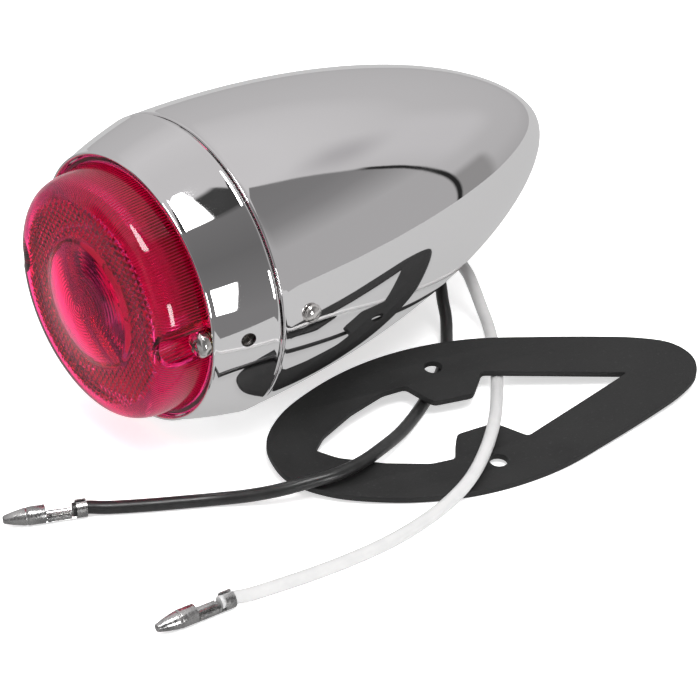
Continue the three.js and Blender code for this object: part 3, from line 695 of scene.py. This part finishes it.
def prism_field():
    """The reflex ring's cube-corner prisms, on a triangular grid, standing on the inner face."""
    face, root, peak = -23.0, -23.12, -23.0 + 0.36 * PRISM_SIDE
    row_height = PRISM_SIDE * math.sqrt(3) / 2
    vertices, found, faces, edges = [], {}, [], {}

    def vertex(x, y, z):
        key = (round(x, 4), round(y, 4), round(z, 4))
        if key not in found:
            found[key] = len(vertices)
            vertices.append((x * MM, y * MM, z * MM))
        return found[key]

    reach = int(26 / row_height)
    for row in range(-reach, reach):
        for column in range(-2 * reach, 2 * reach):
            base = (column + 0.5 * (row % 2)) * PRISM_SIDE
            low, high = row * row_height, (row + 1) * row_height
            shift = 0.5 * PRISM_SIDE
            upright = [(base, low), (base + PRISM_SIDE, low), (base + shift, high)]
            hanging = [(base + PRISM_SIDE, low), (base + 1.5 * PRISM_SIDE, high), (base + shift, high)]
            for corners in (upright, hanging):
                middle = [sum(c[axis] for c in corners) / 3 for axis in (0, 1)]
                radius = math.hypot(*middle)
                near_screw = math.hypot(abs(middle[0]) - LENS_SCREW_Y, middle[1]) < 6.3
                if not 15.0 < radius < 22.6 or near_screw:
                    continue
                top = [vertex(face, *c) for c in corners]
                under = [vertex(root, *c) for c in corners]
                apex = vertex(peak, *middle)
                faces += [(top[a], top[(a + 1) % 3], apex) for a in range(3)]
                faces.append(tuple(reversed(under)))
                for a in range(3):
                    edge = (top[a], top[(a + 1) % 3])
                    edges[edge] = (under[a], under[(a + 1) % 3])
    for (a, b), (low_a, low_b) in edges.items():
        if (b, a) not in edges:
            faces.append((a, low_a, low_b, b))
    mesh = bpy.data.meshes.new("prisms")
    mesh.from_pydata(vertices, [], faces)
    outward(mesh)
    return mesh


def lens():
    """One moulding: a bullseye in a reflex ring, a rounded fluted wall and a flat flange."""
    shoulder = soften([
        (LENS_FACE, BULLSEYE_RADIUS), (LENS_FACE, 21.6), (-24.7, 23.4), (-23.9, 25.1), (-22.5, 26.3),
        (-20.3, 26.95), (-13.4, 27.5), (-13.4, 29), (-12.2, 29), (-12.2, 0),
    ], 1.0, 8)
    outside = dome(LENS_FACE, BULLSEYE_RISE, 40) + shoulder[1:]
    obj = add_object("lens", turned_mesh(outside, 320))
    cuts = []
    for _, side in SIDES:
        cuts.append(rod(-40, -13.4, 3.4, 64, centre=(side * LENS_SCREW_Y, 0)))
        cuts.append(rod(-14, -12, 1.6, centre=(side * LENS_SCREW_Y, 0)))
    carve(obj, cuts)

    core_profile = dome(-23.0, BULLSEYE_RISE, 150, RING_DEPTH)
    core_profile += [(-23.0, 22.0), (-11.2, 22.0), (-11.2, 0)]
    core = add_object("core", turned_mesh(core_profile, 200))
    wall_profile = soften([
        (-22.6, 21.4), (-22.95, 22.1), (-22.3, 23.6), (-21.2, 24.5), (-19.5, 24.95), (-11.2, 25.5),
        (-11.2, 21.4), (-22.6, 21.4),
    ], 0.5, 4)

    def flute(x, radius, angle):
        if radius < 22.0:
            return radius
        return radius + FLUTE_DEPTH * abs(math.sin(FLUTES * angle / 2))

    wall = add_object("wall", turned_mesh(wall_profile, FLUTES * 6, flute))
    carve(core, [wall], "UNION")

    def notch_rib(x, radius, angle):
        return radius + 0.22 * abs(math.sin(NOTCH_RIBS * angle / 2))

    for _, side in SIDES:
        wall_mesh = turned_mesh([(-40, 0), (-40, 4.9), (-5, 4.9), (-5, 0)], NOTCH_RIBS * 6, notch_rib)
        wall_mesh.transform(Matrix.Translation((0, side * LENS_SCREW_Y * MM, 0)))
        carve(core, [add_object("notch", wall_mesh)])
    prisms = add_object("prisms", prism_field())
    carve(core, [prisms])
    carve(obj, [core])
    smooth(obj, 28)
    return settle(obj, "lens_moulding", "lamp", "red_lens", ["lens"])


lens()

# ---------------------------------------------------------------- small turned pieces


def turned_piece(name, profile, body, material, nodes,
                 round_by=0.15, segments=96, shift=(0, 0, 0)):
    obj = add_object(name, turned_mesh(soften(profile, round_by), segments))
    smooth(obj)
    place = Matrix.Translation(LAMP + Vector(shift) * MM)
    return settle(obj, name, body, material, nodes, place)


def ring_profile(x_low, x_high, inner, outer):
    return [(x_low, inner), (x_low, outer), (x_high, outer), (x_high, inner), (x_low, inner)]


turned_piece("lens_seal_ring", ring_profile(-11.9, -11.1, 25, 28.9), "lamp",
             "black_rubber", ["lens_seal"])
turned_piece("reflector_bowl", [
    (10.5, 8.8), (10.5, 9.6), (6, 9.6), (4, 11), (-1, 17), (-7, 23.6), (-7.6, 24), (-7.9, 23.3),
    (-7.3, 22.9), (-1.4, 16.2), (3.4, 10.2), (5.2, 8.8), (10.5, 8.8),
], "lamp", "white_paint", ["reflector"], 0.5, 160)
turned_piece("bulb_envelope", [
    (5, 5.7), (5, 6.3), (1.5, 6.3), (-1.2, 6.7), (-3.4, 7.6), (-6.0, 8.7), (-8.3, 9), (-11.2, 8.55),
    (-13.8, 7.2), (-15.9, 4.9), (-17.0, 2.5), (-17.3, 0), (-16.7, 0), (-16.4, 2.4), (-15.4, 4.5),
    (-13.4, 6.7), (-11, 7.95), (-8.3, 8.4), (-6.2, 8.15), (-3.6, 7.05), (-1.3, 6.15), (1.5, 5.7),
    (5, 5.7),
], "bulb", "clear_glass", ["bulb_glass"], 0.9, 96)
turned_piece("bulb_cap", [
    (2.5, 6.9), (2.5, 7.5), (14.9, 7.5), (15.5, 6.9), (15.5, 3.4), (14.9, 3.4), (14.7, 6.9), (2.5, 6.9),
], "bulb", "brass", ["bulb_base"])
turned_piece("carrier_disc", ring_profile(17, 19, 2.2, 7.4), "contact", "insulation",
             ["contact_carrier"])

# ---------------------------------------------------------------- screws and washers


def lens_screw(name, side):
    """A pan-head cross-recess screw, a split washer and a flat washer under it."""
    head = soften([
        (-17.4, 0), (-17.3, 1.3), (-16.9, 2.4), (-16.2, 3.0), (-14.8, 3.0), (-14.8, 1.25),
        (-5.4, 1.25), (-5.4, 0),
    ], 0.3)
    obj = add_object("screw", turned_mesh(head, 64))
    turn = Matrix.Rotation(math.radians(20), 4, "X")
    arms = [block((-18, -1.7, -0.4), (-16.3, 1.7, 0.4)), block((-18, -0.4, -1.7), (-16.3, 0.4, 1.7))]
    for arm in arms:
        arm.data.transform(turn)
    carve(obj, arms)
    smooth(obj)
    shift = Vector((0, side * LENS_SCREW_Y, 0)) * MM
    place = Matrix.Translation(LAMP + shift)
    settle(obj, f"pan_screw_{name}", "lamp", "screw_steel", [f"lens_screw_{name}"], place)
    split = add_object("split", turned_mesh(soften(ring_profile(-14.68, -14.1, 1.45, 2.45), 0.1), 64))
    carve(split, [block((-15, 0.8, -0.15), (-13.8, 3, 0.15))])
    smooth(split)
    settle(split, f"spring_washer_{name}", "lamp", "yellow_zinc",
           [f"lock_washer_{name}"], place)
    turned_piece(f"plain_washer_{name}", ring_profile(-14.02, -13.5, 1.45, 2.55), "lamp",
                 "yellow_zinc", [f"flat_washer_{name}"], 0.12, 64, (0, side * LENS_SCREW_Y, 0))


def side_screw(name, side):
    """A domed screw through the housing's side."""
    profile = soften([
        (26.9, 0), (26.9, 1.5), (33.45, 1.5), (33.45, 2.15), (33.95, 2.12), (34.5, 1.7), (34.88, 0.95),
        (34.98, 0),
    ], 0.3)
    obj = add_object("screw", turned_mesh(profile, 64))
    smooth(obj)
    obj.data.transform(Matrix.Rotation(side * math.pi / 2, 4, "Z"))
    place = Matrix.Translation(LAMP + Vector((SIDE_SCREW_X, 0, SIDE_SCREW_Z)) * MM)
    settle(obj, f"dome_screw_{name}", "lamp", "screw_steel", [f"side_screw_{name}"], place)


for side_name, side_sign in SIDES:
    lens_screw(side_name, side_sign)
    side_screw(side_name, side_sign)

# ---------------------------------------------------------------- grommet

CUT_ORIGIN_X = 49.5
GROMMET_X = 17.0
BORE_Y = 2.9


def stadium_loop(half_width, half_length, height, count=24):
    """Points round a slot shape that is longer along Y, in millimetres."""
    reach = half_length - half_width
    points = []
    for side in (1, -1):
        for index in range(count):
            angle = math.pi * index / (count - 1)
            across = side * half_width * math.cos(angle)
            points.append((across, side * (reach + half_width * math.sin(angle)), height))
    return points


def grommet():
    """A moulded rubber bush in the mounting bar, with a lip on each side and a bore for each wire."""
    sections = [
        (3.9, 4.6), (4.3, 4.7), (4.4, 5.0), (4.4, 5.6), (4.25, 5.88), (3.2, 5.9), (3.2, 8.1),
        (4.25, 8.12), (4.4, 8.4), (4.4, 9.0), (4.3, 9.3), (3.9, 9.4),
    ]
    bm = bmesh.new()
    loops = []
    for half_width, height in sections:
        outline = stadium_loop(half_width, half_width + 2.8, height)
        loops.append([bm.verts.new(Vector(point) * MM) for point in outline])
    for low, high in zip(loops, loops[1:]):
        for index in range(len(low)):
            after = (index + 1) % len(low)
            bm.faces.new((low[index], low[after], high[after], high[index]))
    bm.faces.new(loops[0])
    bm.faces.new(loops[-1])
    bmesh.ops.recalc_face_normals(bm, faces=bm.faces)
    mesh = bpy.data.meshes.new("grommet")
    bm.to_mesh(mesh)
    bm.free()
    obj = add_object("grommet", mesh)
    carve(obj, [rod(0, 14, 1.7, 48, "Z", (0, side * BORE_Y)) for _, side in SIDES])
    smooth(obj, 40)
    slope_place = Vector((CUT_ORIGIN_X, 0, CUT_FRONT_Z + CUT_SLOPE * (CUT_ORIGIN_X - CUT_FRONT_X)))
    place = (Matrix.Translation(LAMP + slope_place * MM) @ Matrix.Rotation(-math.atan(CUT_SLOPE), 4, "Y")
             @ Matrix.Translation((GROMMET_X * MM, 0, 0)))
    settle(obj, "grommet_bush", "lamp", "black_rubber", ["wire_grommet"], place)


grommet()

# ---------------------------------------------------------------- gasket

GASKET_PLACE = Vector((10.1, -30.2, 0))
GASKET_TURN = math.radians(-16)
GASKET_TILT = math.radians(5.8)
GASKET_LIFT = 2.5
GASKET_THICKNESS = 1.5


def gasket():
    """A leaf cut from sheet rubber, with a leaf-shaped opening, two tabs and two bolt holes."""
    half = [
        (-50.3, 7), (-44, 13.8), (-35, 18.8), (-25.5, 22.2), (-15.5, 24), (-5, 24.1), (6, 22.4),
        (18, 18.5), (31, 13.8), (40, 10), (46, 5.8),
    ]
    around = [(-51.8, 0), *half, (48.2, 0), *[(x, -y) for x, y in reversed(half)]]
    inner_half = [
        (-38.5, 4), (-30, 9), (-21, 12.6), (-15.5, 12.9), (-13.2, 8), (-11.8, 5.8), (-2.9, 5.2),
        (-1.2, 7.2), (2.2, 11.6),
    ]
    opening = [(-42.2, 0), *inner_half, (32, 0), *[(x, -y) for x, y in reversed(inner_half)]]
    holes = [
        [(-7.2 + 2.0 * math.cos(a), side * 16.6 + 2.0 * math.sin(a))
         for a in (2 * math.pi * k / 40 for k in range(40))]
        for side in (-1, 1)
    ]
    curve = bpy.data.curves.new("leaf", "CURVE")
    curve.dimensions = "2D"
    curve.fill_mode = "BOTH"
    edge = 0.12
    curve.extrude = (GASKET_THICKNESS / 2 - edge) * MM
    curve.bevel_depth = edge * MM
    curve.bevel_resolution = 2
    curve.offset = -edge * MM
    for outline in (closed_curve(around, 10), rounded_outline(opening, 1.0), *holes):
        spline = curve.splines.new("POLY")
        spline.points.add(len(outline) - 1)
        for target, (x, y) in zip(spline.points, outline):
            target.co = (x * MM, y * MM, 0, 1)
        spline.use_cyclic_u = True
    source = add_object("leaf", curve)
    depsgraph = bpy.context.evaluated_depsgraph_get()
    mesh = bpy.data.meshes.new_from_object(source.evaluated_get(depsgraph))
    bpy.data.objects.remove(source)
    obj = add_object("gasket_leaf", mesh)
    bm = bmesh.new()
    bm.from_mesh(mesh)
    bmesh.ops.remove_doubles(bm, verts=bm.verts, dist=0.000005)
    bmesh.ops.recalc_face_normals(bm, faces=bm.faces)
    bm.to_mesh(mesh)
    bm.free()
    smooth(obj, 35)
    middle = GASKET_LIFT + GASKET_THICKNESS / 2
    place = (Matrix.Translation(GASKET_PLACE * MM) @ Matrix.Rotation(GASKET_TURN, 4, "Z")
             @ Matrix.Rotation(GASKET_TILT, 4, "X") @ Matrix.Translation((0, 0, middle * MM)))
    return settle(obj, "gasket_leaf", "lamp", "black_rubber", ["gasket"], place)


def closed_curve(points, steps):
    """Points along a smooth closed curve through the given 2-D ones."""
    count = len(points)
    out = []
    for index in range(count):
        a, b, c, d = (Vector(points[(index + k) % count]) for k in (-1, 0, 1, 2))
        for step in range(steps):
            t = step / steps
            out.append(tuple(0.5 * (2 * b + (c - a) * t + (2 * a - 5 * b + 4 * c - d) * t * t
                                    + (3 * b - a - 3 * c + d) * t ** 3)))
    return out


def rounded_outline(points, radius, steps=5):
    """A closed polygon with its corners rounded."""
    out = []
    count = len(points)
    for index, corner in enumerate(points):
        ends = []
        for other in (points[index - 1], points[(index + 1) % count]):
            length = math.dist(corner, other)
            share = min(radius, 0.45 * length) / length
            ends.append([c + (o - c) * share for c, o in zip(corner, other)])
        for step in range(steps + 1):
            t = step / steps
            out.append(tuple((1 - t) ** 2 * a + 2 * t * (1 - t) * c + t * t * b
                             for a, c, b in zip(ends[0], corner, ends[1])))
    return out


gasket()

# ---------------------------------------------------------------- finishes of the CAD parts that stay

CARRIED = {
    "zinc_steel": ["bracket", "bulb_socket", "mounting_bar", "side_nut_right",
                   "side_nut_left", "mounting_nut_right", "mounting_nut_left"],
    "insulation": ["bulb_insulator"],
    "brass": ["contact_button", "bulb_pin_top", "bulb_pin_bottom"],
    "solder": ["bulb_contact"],
    "tungsten": ["bulb_filament"],
}
for slot_name, node_names in CARRIED.items():
    for node_name in node_names:
        for material_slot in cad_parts[node_name].material_slots:
            material_slot.material = MATERIALS[slot_name]

# ---------------------------------------------------------------- floor

PAPER = [(-0.30, 0.15), (-0.04, -0.092), (0.123, -0.236), (0.262, 0.006), (0.45, 0.5), (-0.2, 0.5)]


def flat_mesh(name, outline, height):
    mesh = bpy.data.meshes.new(name)
    mesh.from_pydata([(x, y, height) for x, y in outline], [], [tuple(range(len(outline)))])
    return add_object(name, mesh)


def floor_material(name, level, glow, glow_in_front):
    """Plain pale paper with a glow of its own, so that shadows on it stay faint; the glow may be
    weaker in front of the lens."""
    material, g = new_material(name)
    tone = g.mix(g.noise(3.0, 2.0), grey(level * 0.985), grey(level))
    along = g.node("ShaderNodeSeparateXYZ", {0: g.place()}).outputs[0]
    glow = g.step(along, -0.085, -0.045, glow_in_front, glow)
    finish_material(g, g.node("ShaderNodeBsdfPrincipled", {
        "Base Color": tone, "Roughness": 0.9, "Specular IOR Level": 0.1,
        "Emission Color": tone, "Emission Strength": glow,
    }))
    return material


# The wide floor is what the camera sees. Mirrors see a smaller, darker sheet instead, so the plating
# shows a sheet's edge as it would on a table. Both glow, which keeps the shadows on them faint.
floor = flat_mesh("floor", [(-4, -4), (4, -4), (4, 4), (-4, 4)], 0.0)
floor.data.materials.append(floor_material("floor_white", 0.93, 0.62, 0.62))
floor.visible_glossy = False
sheet = flat_mesh("sheet", PAPER, -0.0002)
sheet.data.materials.append(floor_material("sheet_white", 0.12, 3.2, 0.9))
sheet.visible_camera = False
sheet.visible_diffuse = False
sheet.visible_transmission = False
sheet.visible_shadow = False
floor.visible_shadow = False

# ---------------------------------------------------------------- light

world = bpy.data.worlds.new("studio")
world.use_nodes = True
bpy.context.scene.world = world


def studio_world():
    """A pale room by direction: paler walls, a grey screen with a dark edge on one side, two windows,
    and a dim end in front of the lens that only mirrors and glass see. The camera sees plain white."""
    g = Graph(world.node_tree)
    way = g.node("ShaderNodeTexCoord").outputs["Generated"]
    parts = g.node("ShaderNodeSeparateXYZ", {0: way})
    x, y, z = (parts.outputs[k] for k in range(3))
    degrees = 180 / math.pi
    azimuth = g.math("MULTIPLY", g.math("ARCTAN2", y, x), degrees)
    elevation = g.math("MULTIPLY", g.math("ARCSINE", z), degrees)

    def zone(az_low, az_high, el_low, el_high, soft_az, soft_el):
        """1 inside a box of directions in degrees, fading to 0 over the soft widths."""
        mask = g.step(azimuth, az_low - soft_az, az_low + soft_az)
        mask = g.math("MULTIPLY", mask, g.step(azimuth, az_high - soft_az, az_high + soft_az, 1, 0))
        mask = g.math("MULTIPLY", mask, g.step(elevation, el_low - soft_el, el_low + soft_el))
        return g.math("MULTIPLY", mask, g.step(elevation, el_high - soft_el, el_high + soft_el, 1, 0))

    share = g.math("DIVIDE", g.math("ADD", elevation, 90), 180)

    def level_ramp(stops):
        return g.ramp(share, [((el + 90) / 180, (v, v * 0.985, v * 0.995, 1)) for el, v in stops])

    colour = level_ramp([
        (-90, 0.42), (-12, 0.40), (0, 0.46), (30, 0.50), (38, 0.55), (52, 0.60), (75, 0.56),
    ])
    blob = zone(-24, 4, 14, 35, 8, 5)
    colour = g.mix(g.math("MULTIPLY", blob, 0.5), colour, (0.60, 0.59, 0.60, 1))
    dim = zone(-24, -8, 37, 46, 8, 4)
    colour = g.mix(g.math("MULTIPLY", dim, 0.8), colour, (0.40, 0.39, 0.40, 1))
    wedge = zone(-30, -17, -30, 4, 2, 3)
    colour = g.mix(wedge, colour, (0.285, 0.28, 0.28, 1))
    screen = level_ramp([
        (-40, 0.40), (16, 0.40), (22, 0.33), (30, 0.235), (38, 0.2), (58, 0.185), (75, 0.18),
    ])
    screen_mask = zone(-150, -27.5, -60, 59, 0.8, 2)
    colour = g.mix(screen_mask, colour, screen)
    near = g.math("MULTIPLY", screen_mask, g.step(azimuth, -76, -56, 1, 0))
    colour = g.mix(near, colour, level_ramp([(-60, 0.2), (-12, 0.2), (0, 0.18), (30, 0.14), (60, 0.17)]))
    dark_edge = zone(-28.2, -26.8, -14, 33, 0.4, 2)
    colour = g.mix(dark_edge, colour, (0.02, 0.02, 0.02, 1))
    bright_window = zone(-120, -87.5, 59, 86, 1, 1)
    colour = g.mix(bright_window, colour, (14.0, 14.0, 14.0, 1))
    dark_patch = zone(-87.5, -60, 58, 77, 2, 2)
    colour = g.mix(dark_patch, colour, (0.05, 0.05, 0.05, 1))
    low_window = zone(-98, -89.5, -8, 11, 0.7, 1)
    colour = g.mix(low_window, colour, (14.0, 14.0, 14.0, 1))
    dark_end = g.math("ADD", zone(138, 200, -14, 32, 5, 4), zone(-200, -165, -14, 32, 5, 4))
    ray = g.node("ShaderNodeLightPath")
    dark_end = g.math("MULTIPLY", dark_end, ray.outputs["Is Glossy Ray"])
    colour = g.mix(dark_end, colour, (0.07, 0.07, 0.07, 1))
    colour = g.mix(ray.outputs["Is Camera Ray"], colour, (1, 1, 1, 1))
    background = g.node("ShaderNodeBackground", {"Color": colour, "Strength": 1.0})
    g.node("ShaderNodeOutputWorld", {"Surface": background.outputs[0]})


def area_light(name, azimuth, elevation, distance, size, power):
    """A soft rectangular light aimed at the lamp from a direction in degrees."""
    data = bpy.data.lights.new(name, "AREA")
    data.shape = "RECTANGLE"
    data.size, data.size_y = size
    data.energy = power
    obj = add_object(name, data)
    a, e = math.radians(azimuth), math.radians(elevation)
    toward = Vector((math.cos(e) * math.cos(a), math.cos(e) * math.sin(a), math.sin(e)))
    obj.location = LAMP + toward * distance
    obj.rotation_euler = toward.to_track_quat("Z", "Y").to_euler()
    obj.visible_glossy = False
    obj.visible_camera = False
    return obj


studio_world()
area_light("key", -100, 70, 1.2, (0.9, 0.9), 9.0)
area_light("fill", 60, 60, 1.3, (1.0, 1.0), 5.0)
area_light("front", 175, 35, 1.2, (0.8, 0.8), 2.5)
